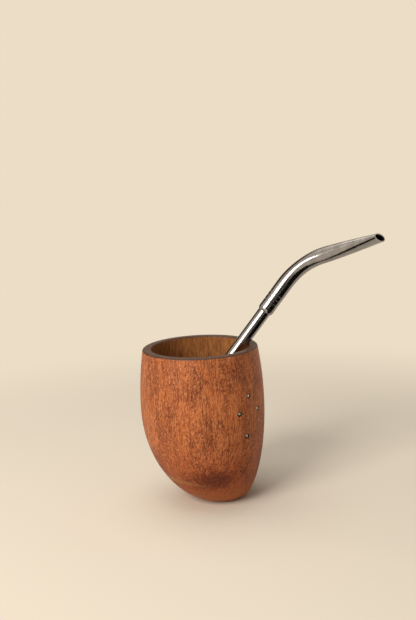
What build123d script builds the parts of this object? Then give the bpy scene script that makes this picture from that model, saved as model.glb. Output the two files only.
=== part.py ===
from build123d import *
import os
from math import asin, cos, hypot, pi, radians, sin, sqrt

# A hand-carved wooden mate cup with four inlaid metal pins, and its metal straw.
# Millimetres, +Z up. The origin is the centre of the flat spot that the cup stands on.
# +X is the side that the straw leans to, -Y is the cup's front.

# ---------------------------------------------------------------- cup sizes
cup_height = 87.3
mouth_radius = 32.0          # outside, at the top
belly_radius = 34.8          # outside, where the cup is widest
belly_height = 54.4
foot_radius = 10.0           # flat spot under the rounded bottom
foot_offset = 10.5           # the foot lies this far to +X of the mouth's axis
lower_fullness = 1.12        # 1 gives quarter ellipses below the belly, more is leaner
lip_width = 4.8              # wood at the mouth
belly_wall = 6.3             # wood at the belly
floor_thickness = 17.0       # wood under the hollow
lip_rounding = 0.8           # both edges of the lip

# --------------------------------------------------------------- inlaid pins
# Each pin: its name, its angle round the cup from +X towards -Y, its depth below the mouth.
pin_places = (("pin_top", 44.3, 23.3), ("pin_right", 31.5, 32.0),
              ("pin_left", 56.3, 31.8), ("pin_bottom", 48.1, 45.2))
pin_radius = 0.85
pin_length = 4.0
pin_dome = 0.25              # height of the pin's rounded head
pin_fit = 0.02               # radial clearance in its hole
recess_radius = 1.25         # sunk ring round each pin
recess_depth = 0.45

# --------------------------------------------------------------- straw sizes
straw_lean = 38.1            # from upright, towards +X
shaft_radius = 3.6
shaft_wall = 0.6
seat_clearance = 0.2         # between the straw and the wood that it rests on
neck_start = 22.6            # from the mouth's plane to the neck's lower edge, along the straw
sleeve_depth = 14.0          # how far the shaft reaches up into the neck
sleeve_fit = 0.05            # radial clearance between shaft and neck
neck_wall = 0.8
shoulder_length = 2.6        # rounding at the neck's lower edge
shoulder_step = 0.55         # how much thinner the neck is at that edge
groove_places = (6.4, 9.0, 11.6)   # from the neck's lower edge
groove_width = 0.5
groove_depth = 0.22
bend_start = 18.8            # from the neck's lower edge
bend_radius = 37.5
bend_angle = 42.9
bend_turn = 46.8             # the bend turns from the cup's side towards its front
bend_flattening = 0.42       # a bent tube is this much lower in the middle of its bend
bend_widening = 0.15
mouthpiece_length = 32.3     # straight run after the bend, to the middle of its cut
mouthpiece_half_width = 5.9
mouthpiece_half_height = 2.0
mouthpiece_wall = 0.6
mouthpiece_twist = -10.9
mouthpiece_cut = -16.4       # slant of the cut away from square
strainer_hole_radius = 0.55
strainer_rows = 4
strainer_pitch = 3.2
strainer_holes_round = 6

# ------------------------------------------------------------ worked out once
mouth_axis_x = -foot_offset
hollow_mouth_radius = mouth_radius - lip_width
hollow_belly_radius = belly_radius - belly_wall
shaft_bore = shaft_radius - shaft_wall
neck_bore = shaft_radius + sleeve_fit
neck_radius = neck_bore + neck_wall
lean = radians(straw_lean)
lip_reach = shaft_radius + lip_rounding + seat_clearance - lip_rounding * sin(lean)
crossing_x = mouth_axis_x + hollow_mouth_radius + lip_rounding - lip_reach / cos(lean)
crossing = Vector(crossing_x, 0, cup_height)
up_shaft = Vector(sin(lean), 0, cos(lean))


# ------------------------------------------------------------------- the cup
def upper_arc_radius(wide, narrow):
    """Radius of the arc that leaves the belly upright and meets the mouth."""
    rise = cup_height - belly_height
    inward = wide - narrow
    return (rise ** 2 + inward ** 2) / (2 * inward)


def upper_radius(height, wide, narrow):
    arc = upper_arc_radius(wide, narrow)
    return wide - arc + sqrt(arc ** 2 - (height - belly_height) ** 2)


def outer_section(height):
    """Centre x and radius of the cup's outside at a height."""
    if height >= belly_height:
        return mouth_axis_x, upper_radius(height, belly_radius, mouth_radius)
    below = 1 - height / belly_height
    share = sqrt(max(1 - below ** 2, 0)) ** lower_fullness
    left = -foot_radius + (mouth_axis_x - belly_radius + foot_radius) * share
    right = foot_radius + (mouth_axis_x + belly_radius - foot_radius) * share
    return (left + right) / 2, (right - left) / 2


def lower_heights():
    """Heights of the loft's sections: close together near the foot, where the wall turns."""
    steps = 14
    return [belly_height * (1 - cos(pi / 2 * k / steps)) for k in range(steps + 1)]


def cup_below_belly():
    rings = []
    for height in lower_heights():
        centre_x, radius = outer_section(height)
        rings.append(Plane.XY.offset(height) * Pos(centre_x, 0) * Circle(radius))
    return loft(rings)


def cup_above_belly():
    """Turned about the mouth's axis, with the lip's outer edge rounded."""
    middle = (belly_height + cup_height) / 2
    low = cup_height - lip_rounding
    side = outer_section(low)[1]
    inner = mouth_radius - lip_rounding
    round_point = (inner + lip_rounding * sin(pi / 4), low + lip_rounding * cos(pi / 4))
    with BuildPart() as body:
        with BuildSketch(Plane.XZ):
            with BuildLine():
                ThreePointArc((belly_radius, belly_height), (outer_section(middle)[1], middle), (side, low))
                ThreePointArc((side, low), round_point, (inner, cup_height))
                Polyline((inner, cup_height), (0, cup_height), (0, belly_height), (belly_radius, belly_height))
            make_face()
        revolve(axis=Axis.Z)
    return Pos(mouth_axis_x, 0, 0) * body.part


def hollow_radius(height):
    """Radius of the hollow at a height: an arc above the belly, a quarter ellipse below."""
    if height >= belly_height:
        return upper_radius(height, hollow_belly_radius, hollow_mouth_radius)
    below = (belly_height - height) / (belly_height - floor_thickness)
    return hollow_belly_radius * sqrt(max(1 - below ** 2, 0))


def hollow():
    """The turned hollow, with a flare that rounds the lip's inner edge."""
    middle = (belly_height + cup_height - lip_rounding) / 2
    lip_start = cup_height - lip_rounding
    lip_radius = hollow_radius(lip_start)
    floor_rise = belly_height - floor_thickness
    steps = 8
    heights = [belly_height - floor_rise * cos(pi / 2 * k / steps) for k in range(steps + 1)]
    bowl = [(hollow_radius(height), height) for height in heights]
    belly_point = bowl[-1]
    lip_point = (lip_radius, lip_start)
    edge_point = (lip_radius + lip_rounding, cup_height)
    bend_point = (lip_radius + lip_rounding * (1 - cos(pi / 4)), lip_start + lip_rounding * sin(pi / 4))
    with BuildPart() as cutter:
        with BuildSketch(Plane.XZ):
            with BuildLine():
                Spline(*bowl, tangents=((1, 0), (0, 1)))
                ThreePointArc(belly_point, (hollow_radius(middle), middle), lip_point)
                ThreePointArc(lip_point, bend_point, edge_point)
                Polyline(edge_point, (edge_point[0], cup_height + 1), (0, cup_height + 1), bowl[0])
            make_face()
        revolve(axis=Axis.Z)
    return Pos(mouth_axis_x, 0, 0) * cutter.part


def pin_plane(angle, depth):
    """Plane on the cup's outside at a pin, facing straight out of the wood."""
    height = cup_height - depth
    centre_x, radius = outer_section(height)
    step = 0.1
    centre_above, radius_above = outer_section(height + step)
    around = radians(angle)
    outward = Vector(cos(around), -sin(around), 0)
    here = Vector(centre_x, 0, height) + outward * radius
    above = Vector(centre_above, 0, height + step) + outward * radius_above
    sideways = outward.cross(Vector(0, 0, 1)).normalized()
    facing = (above - here).cross(sideways).normalized()
    if facing.dot(outward) < 0:
        facing = facing * -1
    return Plane(origin=here, x_dir=sideways, z_dir=facing)


def pin_hole(plane):
    """The bored hole and the sunk ring for one pin, as one turned cutter."""
    bore = pin_radius + pin_fit
    bottom = -recess_depth - pin_length
    with BuildPart() as drill:
        with BuildSketch(Plane.XZ):
            with BuildLine():
                Polyline((0, 1), (recess_radius, 1), (recess_radius, -recess_depth), (bore, -recess_depth),
                         (bore, bottom), (0, bottom), close=True)
            make_face()
        revolve(axis=Axis.Z)
    return plane * drill.part


def pin(plane):
    """A short round pin; its domed head ends just under the cup's surface."""
    dome_radius = (pin_radius ** 2 + pin_dome ** 2) / (2 * pin_dome)
    half_arc = asin(pin_radius / dome_radius) / 2
    head_low = -0.05 - pin_dome
    foot = -recess_depth - pin_length
    dome_centre = head_low + pin_dome - dome_radius
    mid_point = (dome_radius * sin(half_arc), dome_centre + dome_radius * cos(half_arc))
    with BuildPart() as body:
        with BuildSketch(Plane.XZ):
            with BuildLine():
                Polyline((0, head_low + pin_dome), (0, foot), (pin_radius, foot), (pin_radius, head_low))
                ThreePointArc((pin_radius, head_low), mid_point, (0, head_low + pin_dome))
            make_face()
        revolve(axis=Axis.Z)
    return plane * body.part


def cup(pin_planes):
    body = cup_below_belly() + cup_above_belly() - hollow()
    for plane in pin_planes:
        body = body - pin_hole(plane)
    return body


# ----------------------------------------------------------------- the straw
def wall_distance(x, z):
    """Distance from a point in the straw's plane to the hollow's wall, on the -X side."""
    steps = 400
    best = cup_height
    for k in range(steps + 1):
        height = floor_thickness + (belly_height - floor_thickness) * sin(pi / 2 * k / steps) ** 2
        gap = hypot(x - (mouth_axis_x - hollow_radius(height)), z - height)
        best = min(best, gap)
    return best


def shaft_reach():
    """Distance down the straw, from the mouth's plane to the centre of its round end, at rest."""
    near = 0.0
    far = (cup_height - floor_thickness) / cos(lean)
    while far - near > 0.001:
        middle = (near + far) / 2
        end = crossing - up_shaft * middle
        inside = end.X > mouth_axis_x - hollow_radius(max(end.Z, floor_thickness))
        if inside and end.Z > floor_thickness and \
                wall_distance(end.X, end.Z) > shaft_radius + seat_clearance:
            near = middle
        else:
            far = middle
    return near


def along_shaft(distance):
    """Plane square to the shaft, at a distance from the mouth's plane."""
    return Plane(origin=crossing + up_shaft * distance, x_dir=(0, 1, 0), z_dir=up_shaft)


def round_end_tube(outer, inner, length):
    """Tube along +Z with a closed, round lower end whose centre is the origin."""
    outside = Pos(0, 0, length / 2) * Cylinder(outer, length) + Sphere(outer)
    inside = Pos(0, 0, (length + 1) / 2) * Cylinder(inner, length + 1) + Sphere(inner)
    return outside - inside


def straw_shaft(reach):
    length = reach + neck_start + sleeve_depth
    tube = round_end_tube(shaft_radius, shaft_bore, length)
    for row in range(strainer_rows):
        turn = row % 2 * 180 / strainer_holes_round
        for k in range(strainer_holes_round // 2):
            drill = Cylinder(strainer_hole_radius, 2 * shaft_radius + 2, rotation=(90, 0, 0))
            angle = turn + k * 360 / strainer_holes_round
            tube = tube - Pos(0, 0, (row + 0.5) * strainer_pitch) * Rot(0, 0, angle) * drill
    return along_shaft(-reach) * tube


def sleeve():
    """Straight lower part of the neck, with its rounded edge and its engraved rings."""
    edge = neck_radius - shoulder_step
    bow = (edge + (neck_radius - edge) * 0.8, shoulder_length * 0.4)
    with BuildPart() as body:
        with BuildSketch(Plane.XZ):
            with BuildLine():
                ThreePointArc((edge, 0), bow, (neck_radius, shoulder_length))
                Polyline((neck_radius, shoulder_length), (neck_radius, bend_start), (neck_bore, bend_start),
                         (neck_bore, 0), (edge, 0))
            make_face()
        revolve(axis=Axis.Z)
        for place in groove_places:
            with BuildSketch(Plane.XZ):
                with BuildLine():
                    Polyline((neck_radius + 0.1, place - groove_width / 2 - 0.1),
                             (neck_radius - groove_depth, place),
                             (neck_radius + 0.1, place + groove_width / 2 + 0.1), close=True)
                make_face()
            revolve(axis=Axis.Z, mode=Mode.SUBTRACT)
    return along_shaft(neck_start) * body.part


turn = radians(bend_turn)
across_shaft = Vector(cos(lean), 0, -sin(lean))
bend_side = across_shaft * cos(turn) + Vector(0, -1, 0) * sin(turn)
neck_side = up_shaft.cross(bend_side)
bend_origin = crossing + up_shaft * (neck_start + bend_start)
bend_centre = bend_origin + bend_side * bend_radius


def bend_frame(angle):
    """Point, direction and outward direction of the neck's centre line in the bend."""
    a = radians(angle)
    forward = up_shaft * cos(a) + bend_side * sin(a)
    outward = up_shaft * sin(a) - bend_side * cos(a)
    return bend_centre + outward * bend_radius, forward, outward


def oval(point, forward, outward, twist, half_width, half_height):
    """Oval section of the neck, wide across the bend's plane."""
    a = radians(twist)
    wide = neck_side * cos(a) - outward * sin(a)
    return Plane(origin=point, x_dir=wide, z_dir=forward) * Ellipse(half_width, half_height)


def neck_shell(inset_start, inset_end):
    """Outside of the bend and mouthpiece, or its bore where the insets are wall thicknesses."""
    sections = []
    bend_steps = 8
    for k in range(bend_steps + 1):
        share = k / bend_steps
        point, forward, outward = bend_frame(bend_angle * share)
        bulge = sin(pi * share) ** 2
        half_width = neck_radius - inset_start + bend_widening * bulge
        half_height = neck_radius - inset_start - bend_flattening * bulge
        sections.append(oval(point, forward, outward, 0, half_width, half_height))
    point, forward, outward = bend_frame(bend_angle)
    taper_steps = 7
    over = 1.2
    for k in range(1, taper_steps + 1):
        share = over * k / taper_steps
        blend = share ** 1.25
        inset = inset_start + (inset_end - inset_start) * blend
        half_width = neck_radius + (mouthpiece_half_width - neck_radius) * blend - inset
        half_height = neck_radius + (mouthpiece_half_height - neck_radius) * blend - inset
        place = point + forward * (mouthpiece_length * share)
        sections.append(oval(place, forward, outward, mouthpiece_twist * blend, half_width, half_height))
    return loft(sections)


def mouthpiece_cutter():
    """Block beyond the mouthpiece's slanted end."""
    point, forward, outward = bend_frame(bend_angle)
    slant = radians(mouthpiece_cut)
    facing = forward * cos(slant) + outward * sin(slant)
    size = 6 * mouthpiece_half_width
    end = Plane(origin=point + forward * mouthpiece_length, x_dir=neck_side, z_dir=facing)
    return end * Pos(0, 0, size / 2) * Box(size, size, size)


def straw_neck():
    tube = neck_shell(0, 0) - neck_shell(neck_wall, mouthpiece_wall)
    return sleeve() + (tube - mouthpiece_cutter())


# --------------------------------------------------------------------- files
def write(name, shape):
    solids = shape.solids()
    export_step(solids[0] if len(solids) == 1 else Compound(solids), f"parts/{name}.step")


os.makedirs("parts", exist_ok=True)
planes = [pin_plane(angle, depth) for name, angle, depth in pin_places]
write("cup", cup(planes))
for (name, angle, depth), plane in zip(pin_places, planes):
    write(name, pin(plane))
write("straw_shaft", straw_shaft(shaft_reach()))
write("straw_neck", straw_neck())
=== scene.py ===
from math import cos, radians, sin

import bpy
from mathutils import Matrix, Vector


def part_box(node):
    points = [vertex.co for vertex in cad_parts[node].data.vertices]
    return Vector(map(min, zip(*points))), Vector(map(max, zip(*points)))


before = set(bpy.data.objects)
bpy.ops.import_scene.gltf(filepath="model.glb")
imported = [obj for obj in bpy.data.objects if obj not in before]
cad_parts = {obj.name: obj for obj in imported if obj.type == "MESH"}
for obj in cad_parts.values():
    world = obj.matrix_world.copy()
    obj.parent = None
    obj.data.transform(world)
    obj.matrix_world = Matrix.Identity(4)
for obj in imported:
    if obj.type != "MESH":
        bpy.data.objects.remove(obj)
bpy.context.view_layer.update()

scene = bpy.context.scene

# ------------------------------------------------------------------ places, in metres
MM = 0.001
cup_low, cup_high = (Vector(corner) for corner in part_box("cup"))
cup_height = cup_high.z
mouth_axis_x = (cup_low.x + cup_high.x) / 2
mouth_centre = Vector((mouth_axis_x, 0, cup_height))
floor_z = cup_low.z - 0.1 * MM
pin_nodes = ("pin_top", "pin_right", "pin_left", "pin_bottom")

# ------------------------------------------------------------------ colours, as sRGB bytes
BACKDROP = (236, 221, 198)
FLOOR = (233, 221, 201)

# ------------------------------------------------------------------ light, as linear colours
SOFT_LIGHT = (1.0, 0.97, 0.93, 1.0)
LAMP_LIGHT = (1.0, 0.975, 0.95)


def linear(rgb):
    """Linear colour with alpha from sRGB bytes."""
    values = []
    for byte in rgb:
        share = byte / 255
        values.append(share / 12.92 if share <= 0.04045 else ((share + 0.055) / 1.055) ** 2.4)
    return (*values, 1.0)


# ------------------------------------------------------------------ node helpers
class Graph:
    """Builds one node tree a call at a time."""

    def __init__(self, tree):
        self.tree = tree
        self.tree.nodes.clear()

    def node(self, kind, **settings):
        made = self.tree.nodes.new(kind)
        for key, value in settings.items():
            setattr(made, key, value)
        return made

    def put(self, socket, value):
        if isinstance(value, bpy.types.NodeSocket):
            self.tree.links.new(value, socket)
        else:
            socket.default_value = value

    def math(self, operation, *values):
        made = self.node("ShaderNodeMath", operation=operation)
        for socket, value in zip(made.inputs, values):
            self.put(socket, value)
        return made.outputs[0]

    def vector(self, operation, *values):
        made = self.node("ShaderNodeVectorMath", operation=operation)
        for socket, value in zip(made.inputs, values):
            self.put(socket, value)
        return made.outputs[0]

    def plus(self, first, second):
        return self.math("ADD", first, second)

    def times(self, first, second):
        return self.math("MULTIPLY", first, second)

    def length(self, vector):
        made = self.node("ShaderNodeVectorMath", operation="LENGTH")
        self.put(made.inputs[0], vector)
        return made.outputs["Value"]

    def dot(self, first, second):
        made = self.node("ShaderNodeVectorMath", operation="DOT_PRODUCT")
        self.put(made.inputs[0], first)
        self.put(made.inputs[1], second)
        return made.outputs["Value"]

    def stretch(self, vector, factors):
        return self.vector("MULTIPLY", vector, factors)

    def mix(self, factor, first, second, blend="MIX"):
        made = self.node("ShaderNodeMix", data_type="RGBA", blend_type=blend)
        self.put(made.inputs[0], factor)
        self.put(made.inputs[6], first)
        self.put(made.inputs[7], second)
        return made.outputs[2]

    def noise(self, vector, scale, detail=3.0, roughness=0.55):
        made = self.node("ShaderNodeTexNoise")
        self.put(made.inputs["Vector"], vector)
        made.inputs["Scale"].default_value = scale
        made.inputs["Detail"].default_value = detail
        made.inputs["Roughness"].default_value = roughness
        return made.outputs[0]

    def tint(self, colour, where, amount, rgb, blend="MIX"):
        """Lays an sRGB colour over another where a mask is 1, by the given amount."""
        return self.mix(self.times(where, amount), colour, linear(rgb), blend)

    def between(self, value, low, high, first_rgb, second_rgb):
        """Runs from one sRGB colour to another as a value goes from low to high."""
        return self.mix(self.ramp(value, low, high), linear(first_rgb), linear(second_rgb))

    def ramp(self, value, low, high):
        """0 at low and 1 at high, smooth between. It falls where low is the larger."""
        made = self.node("ShaderNodeMapRange", interpolation_type="SMOOTHSTEP")
        self.put(made.inputs["Value"], value)
        made.inputs["From Min"].default_value = low
        made.inputs["From Max"].default_value = high
        return made.outputs[0]

    def combine(self, x, y, z):
        made = self.node("ShaderNodeCombineXYZ")
        for socket, value in zip(made.inputs, (x, y, z)):
            self.put(socket, value)
        return made.outputs[0]

    def separate(self, vector):
        made = self.node("ShaderNodeSeparateXYZ")
        self.put(made.inputs[0], vector)
        return made.outputs

    def bump(self, height, distance, strength=1.0):
        made = self.node("ShaderNodeBump")
        made.inputs["Strength"].default_value = strength
        made.inputs["Distance"].default_value = distance
        self.put(made.inputs["Height"], height)
        return made.outputs[0]


def new_material(name):
    material = bpy.data.materials.new(name)
    material.use_nodes = True
    graph = Graph(material.node_tree)
    shader = graph.node("ShaderNodeBsdfPrincipled")
    output = graph.node("ShaderNodeOutputMaterial")
    graph.put(output.inputs["Surface"], shader.outputs[0])
    return material, graph, shader


def place_in_mm(graph):
    """Object position in millimetres."""
    coordinates = graph.node("ShaderNodeTexCoord")
    return graph.vector("MULTIPLY", coordinates.outputs["Object"], (1000, 1000, 1000))


# ------------------------------------------------------------------ wood, in millimetres
class Grain:
    """The wood's patterns at one point, shared by all its surfaces."""

    def __init__(self, graph, place):
        x, y, z = graph.separate(place)
        self.layers = growth_layers(graph, place)
        drift_reach = 3.0
        drift = graph.times(graph.noise(graph.stretch(place, (0.03, 0.03, 0.03)), 1.0), drift_reach)
        grain_x = graph.plus(x, drift)

        def along(share):
            """Place with z shrunk, so that what is drawn from it is long and upright."""
            return graph.combine(grain_x, y, graph.times(z, share))

        self.fibres = graph.noise(along(0.07), 1.3, 4.0, 0.7)
        self.fine_fibres = graph.noise(along(0.28), 2.6, 3.0, 0.65)
        self.pores = graph.ramp(graph.noise(along(0.14), 2.1, 2.0, 0.5), 0.56, 0.70)
        self.mottle = graph.noise(graph.stretch(place, (1.0, 1.0, 0.5)), 0.11, 4.0, 0.62)
        self.speckle = graph.noise(graph.stretch(place, (1.0, 1.0, 0.7)), 0.75, 4.0, 0.65)


def growth_layers(graph, place):
    """Layers that run upright and close as nested U shapes low on the front."""
    arch_x = -8.1           # the U shapes' middle
    arch_z = 42.0           # below this the layers close
    arch_height = 1.6       # a U shape's depth over its half width
    slant = 0.35            # how much the layers also change towards the back
    wander_reach = 14.0     # broad waves
    flow_reach = 3.0        # narrow waves
    x, y, z = graph.separate(place)
    wander = graph.noise(graph.stretch(place, (0.06, 0.06, 0.02)), 1.0, 3.0, 0.5)
    flow = graph.noise(graph.stretch(place, (0.22, 0.22, 0.04)), 1.0, 2.0, 0.5)
    across = graph.math("SUBTRACT", x, arch_x)
    below = graph.math("MAXIMUM", graph.math("SUBTRACT", arch_z, z), 0.0)
    layer = graph.length(graph.combine(across, graph.math("DIVIDE", below, arch_height), 0.0))
    layer = graph.plus(layer, graph.times(y, slant))
    layer = graph.plus(layer, graph.times(wander, wander_reach))
    layer = graph.plus(layer, graph.times(flow, flow_reach))
    return graph.noise(graph.combine(layer, graph.times(y, 0.04), graph.times(z, 0.02)), 0.8, 4.0, 0.65)


def outer_wood(graph, place, grain):
    """Red-brown outside, with painted shade making it darker and redder low down."""
    z = graph.separate(place)[2]
    colour = graph.between(grain.mottle, 0.38, 0.62, (138, 64, 28), (180, 97, 48))
    colour = graph.tint(colour, graph.ramp(grain.speckle, 0.47, 0.66), 0.55, (206, 128, 76))
    colour = graph.tint(colour, graph.ramp(grain.speckle, 0.48, 0.34), 0.4, (118, 52, 24))
    colour = graph.tint(colour, graph.ramp(grain.layers, 0.49, 0.39), 0.55, (96, 42, 22))
    colour = graph.tint(colour, graph.ramp(grain.layers, 0.52, 0.66), 0.25, (206, 132, 86))
    colour = graph.tint(colour, graph.ramp(grain.fibres, 0.50, 0.38), 0.7, (92, 40, 20))
    colour = graph.tint(colour, graph.ramp(grain.fine_fibres, 0.50, 0.62), 0.55, (222, 146, 92))
    colour = graph.tint(colour, grain.pores, 0.5, (62, 30, 19))
    # Painted shade: the colour is multiplied darker and redder towards the bottom.
    shade_top, shade_bottom = 50.0, 12.0
    painted_low_shade = graph.ramp(z, shade_top, shade_bottom)
    colour = graph.tint(colour, painted_low_shade, 0.6, (200, 150, 110), "MULTIPLY")

    # Towards the foot the wood is a yellower brown.
    foot_top, foot_bottom, foot_waves = 22.0, 8.0, 12.0
    foot = graph.ramp(graph.plus(z, graph.times(grain.mottle, foot_waves)), foot_top, foot_bottom)
    colour = graph.tint(colour, foot, 0.75, (170, 98, 45))

    # A ragged, dark red-brown patch low on the front, wider than high.
    patch_centre = (-6.0, -28.0, 19.0)
    patch_squeeze = (0.75, 0.7, 1.5)
    patch_edge, patch_core, patch_waves = 18.0, 7.0, 9.0
    offset = graph.vector("SUBTRACT", place, patch_centre)
    away = graph.length(graph.stretch(offset, patch_squeeze))
    patch = graph.ramp(graph.plus(away, graph.times(grain.speckle, patch_waves)), patch_edge, patch_core)
    return graph.tint(colour, patch, 0.8, (84, 28, 12))


def inner_wood(graph, grain):
    """Golden olive brown with upright streaks."""
    colour = graph.between(grain.fibres, 0.35, 0.65, (128, 77, 40), (176, 114, 60))
    colour = graph.tint(colour, grain.pores, 0.6, (66, 40, 22))
    return graph.tint(colour, graph.ramp(grain.mottle, 0.45, 0.65), 0.4, (168, 114, 62))


def hollow_mask(graph, place):
    """1 on the hollow's wall and floor, 0 on the outside."""
    x, y, z = graph.separate(place)
    from_axis = graph.combine(graph.math("SUBTRACT", x, mouth_axis_x / MM), y, 0.0)
    radius = graph.length(from_axis)
    normal = graph.node("ShaderNodeNewGeometry").outputs["Normal"]
    facing_in = graph.ramp(graph.dot(normal, from_axis), 0.0, -6.0)
    wall = graph.times(facing_in, graph.ramp(radius, 30.0, 29.2))
    floor_inside = graph.times(graph.ramp(radius, 27.0, 25.0), graph.ramp(z, 14.0, 16.0))
    return graph.math("MAXIMUM", wall, floor_inside)


def wood_material():
    material, graph, shader = new_material("carved_wood")
    place = place_in_mm(graph)
    grain = Grain(graph, place)
    colour = graph.mix(hollow_mask(graph, place), outer_wood(graph, place, grain), inner_wood(graph, grain))

    # Dark rings where the pins are let in, measured from the middle of each pin.
    ring_edge, ring_core = 2.9, 2.6
    for pin in pin_nodes:
        low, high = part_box(pin)
        pin_middle = (Vector(high) + Vector(low)) / 2 / MM
        away = graph.length(graph.vector("SUBTRACT", place, tuple(pin_middle)))
        colour = graph.mix(graph.ramp(away, ring_edge, ring_core), colour, linear((30, 20, 15)))

    # The lip is dark, grey-brown end grain.
    lip_start, lip_full = 0.9, 0.35     # below the rim
    z = graph.separate(place)[2]
    lip = graph.ramp(z, cup_height / MM - lip_start, cup_height / MM - lip_full)
    end_grain = graph.noise(place, 1.6, 3.0, 0.6)
    colour = graph.mix(lip, colour, graph.between(end_grain, 0.38, 0.68, (60, 37, 27), (98, 67, 51)))

    graph.put(shader.inputs["Base Color"], colour)
    rough = graph.math("MULTIPLY_ADD", grain.fibres, 0.22, 0.40)
    graph.put(shader.inputs["Roughness"], graph.plus(rough, graph.times(grain.pores, 0.15)))
    shader.inputs["IOR"].default_value = 1.45
    shader.inputs["Specular IOR Level"].default_value = 0.28
    shader.inputs["Coat Weight"].default_value = 0.03
    shader.inputs["Coat Roughness"].default_value = 0.32
    relief = graph.math("SUBTRACT", graph.times(grain.fibres, 0.5), graph.times(grain.pores, 0.5))
    relief_depth = 0.18 * MM
    graph.put(shader.inputs["Normal"], graph.bump(relief, relief_depth, 0.7))
    return material


# ------------------------------------------------------------------ metal
def metal_material(name, pattern_stretch, pattern, edges, colours, roughness):
    """Metal whose colour and roughness follow one noise pattern."""
    material, graph, shader = new_material(name)
    place = graph.stretch(place_in_mm(graph), pattern_stretch)
    stain = graph.noise(place, *pattern)
    graph.put(shader.inputs["Base Color"], graph.between(stain, *edges, *colours))
    shader.inputs["Metallic"].default_value = 1.0
    least, spread = roughness
    graph.put(shader.inputs["Roughness"], graph.math("MULTIPLY_ADD", stain, spread, least))
    return material


def dress(node, material):
    """Gives every material slot of a CAD node one material."""
    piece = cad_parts[node]
    if not piece.material_slots:
        piece.data.materials.append(material)
    for slot in piece.material_slots:
        slot.material = material


wood = wood_material()
steel = metal_material("polished_steel", (0.5, 0.9, 0.3), pattern=(0.4, 2.0, 0.5), edges=(0.3, 0.7),
                       colours=((148, 146, 147), (165, 163, 164)), roughness=(0.15, 0.06))
pins = metal_material("pin_metal", (1.0, 1.0, 1.0), pattern=(1.8, 3.0, 0.6), edges=(0.4, 0.7),
                      colours=((236, 236, 234), (176, 172, 166)), roughness=(0.42, 0.25))
dress("cup", wood)
for node in ("straw_shaft", "straw_neck"):
    dress(node, steel)
for node in pin_nodes:
    dress(node, pins)


# ------------------------------------------------------------------ floor, light and camera
def floor():
    """Large round floor that turns into the backdrop's own colour away from the object."""
    reach = 3.0
    fade_start, fade_end = 0.16, 0.42
    bpy.ops.mesh.primitive_circle_add(vertices=96, radius=reach, fill_type="NGON",
                                      location=(0, 0, floor_z))
    ground = bpy.context.object
    ground.name = "floor"
    material = bpy.data.materials.new("floor")
    material.use_nodes = True
    graph = Graph(material.node_tree)
    lit = graph.node("ShaderNodeBsdfDiffuse")
    lit.inputs["Color"].default_value = linear(FLOOR)
    plain = graph.node("ShaderNodeEmission")
    plain.inputs["Color"].default_value = linear(BACKDROP)
    position = graph.node("ShaderNodeTexCoord").outputs["Object"]
    far = graph.ramp(graph.length(position), fade_start, fade_end)
    blend = graph.node("ShaderNodeMixShader")
    graph.put(blend.inputs[0], far)
    graph.put(blend.inputs[1], lit.outputs[0])
    graph.put(blend.inputs[2], plain.outputs[0])
    output = graph.node("ShaderNodeOutputMaterial")
    graph.put(output.inputs["Surface"], blend.outputs[0])
    ground.data.materials.append(material)


def surroundings(ambient):
    """The backdrop's colour for camera, mirror and glass rays, and plain soft light for the rest."""
    world = bpy.data.worlds.new("surroundings")
    world.use_nodes = True
    scene.world = world
    graph = Graph(world.node_tree)
    rays = graph.node("ShaderNodeLightPath")
    seen = graph.math("MAXIMUM", rays.outputs["Is Camera Ray"], rays.outputs["Is Glossy Ray"])
    seen = graph.math("MAXIMUM", seen, rays.outputs["Is Transmission Ray"])
    shown = graph.node("ShaderNodeBackground")
    shown.inputs["Color"].default_value = linear(BACKDROP)
    light = graph.node("ShaderNodeBackground")
    light.inputs["Color"].default_value = SOFT_LIGHT
    light.inputs["Strength"].default_value = ambient
    blend = graph.node("ShaderNodeMixShader")
    graph.put(blend.inputs[0], seen)
    graph.put(blend.inputs[1], light.outputs[0])
    graph.put(blend.inputs[2], shown.outputs[0])
    output = graph.node("ShaderNodeOutputWorld")
    graph.put(output.inputs["Surface"], blend.outputs[0])


def aim(piece, target):
    direction = Vector(target) - piece.location
    piece.rotation_euler = direction.to_track_quat("-Z", "Y").to_euler()


def softbox(name, place, target, width, height, power):
    lamp = bpy.data.lights.new(name, "AREA")
    lamp.shape = "RECTANGLE"
    lamp.size = width
    lamp.size_y = height
    lamp.energy = power
    lamp.color = LAMP_LIGHT
    made = bpy.data.objects.new(name, lamp)
    scene.collection.objects.link(made)
    made.location = place
    aim(made, target)


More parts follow.
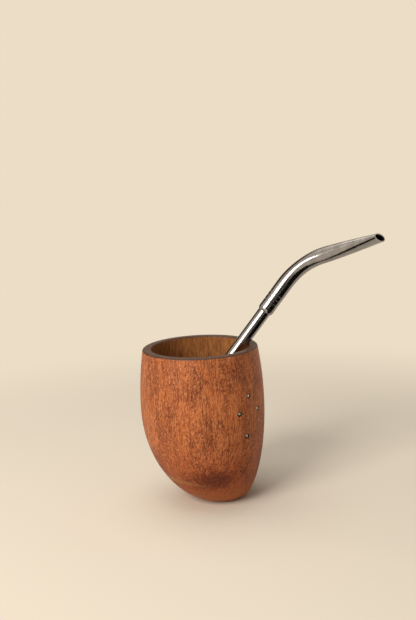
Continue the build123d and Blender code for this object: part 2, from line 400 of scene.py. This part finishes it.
def dark_card(name, place, target, width, height, shade):
    """Dark board beside the set, seen only in the metal's reflections."""
    half_w, half_h = width / 2, height / 2
    mesh = bpy.data.meshes.new(name)
    corners = [(-half_w, -half_h, 0), (half_w, -half_h, 0), (half_w, half_h, 0), (-half_w, half_h, 0)]
    mesh.from_pydata(corners, [], [(0, 1, 2, 3)])
    card = bpy.data.objects.new(name, mesh)
    scene.collection.objects.link(card)
    card.location = place
    aim(card, target)
    material = bpy.data.materials.new(name)
    material.use_nodes = True
    graph = Graph(material.node_tree)
    glow = graph.node("ShaderNodeEmission")
    glow.inputs["Color"].default_value = linear(shade)
    output = graph.node("ShaderNodeOutputMaterial")
    graph.put(output.inputs["Surface"], glow.outputs[0])
    mesh.materials.append(material)
    card.visible_camera = False
    card.visible_diffuse = False
    card.visible_shadow = False


def camera():
    """Looks at the mouth from a little above, turned so that the cup leans as it was held."""
    distance = 0.45
    above = radians(12.215)
    pitch = radians(9.692)
    yaw = radians(0.709)
    roll = radians(2.617)
    sensor = 36.0               # mm
    focal_share = 1.3005161     # focal length over the picture's height
    right = Vector((cos(yaw), -sin(yaw), 0))
    forward = Vector((sin(yaw) * cos(pitch), cos(yaw) * cos(pitch), -sin(pitch)))
    up = right.cross(forward)
    side = right * cos(roll) - up * sin(roll)
    top = right * sin(roll) + up * cos(roll)
    data = bpy.data.cameras.new("camera")
    data.sensor_width = sensor
    data.lens = sensor * focal_share
    data.clip_start = 0.01
    made = bpy.data.objects.new("camera", data)
    scene.collection.objects.link(made)
    turn = Matrix((side, top, -forward)).transposed().to_4x4()
    place = mouth_centre + Vector((0, -cos(above), sin(above))) * distance
    made.matrix_world = Matrix.Translation(place) @ turn
    scene.camera = made


floor()
surroundings(0.28)
middle = (mouth_axis_x, 0, 0.07)
softbox("key", (-0.62, -0.72, 0.62), middle, 0.5, 0.7, 10.0)
softbox("top", (-0.2, 0.1, 1.1), middle, 0.9, 0.9, 4.6)
dark_card("card_front", (0.3, -1.1, 0.3), (0.0, 0.0, 0.3), 1.6, 1.0, (50, 45, 43))
dark_card("card_back_left", (-0.6, 0.7, 0.5), (0.05, 0.0, 0.13), 0.9, 0.9, (70, 64, 60))
dark_card("card_floor", (0.45, -0.42, 0.004), (0.45, -0.42, 1.0), 0.86, 0.8, (16, 13, 12))
camera()
scene.view_settings.view_transform = "Standard"
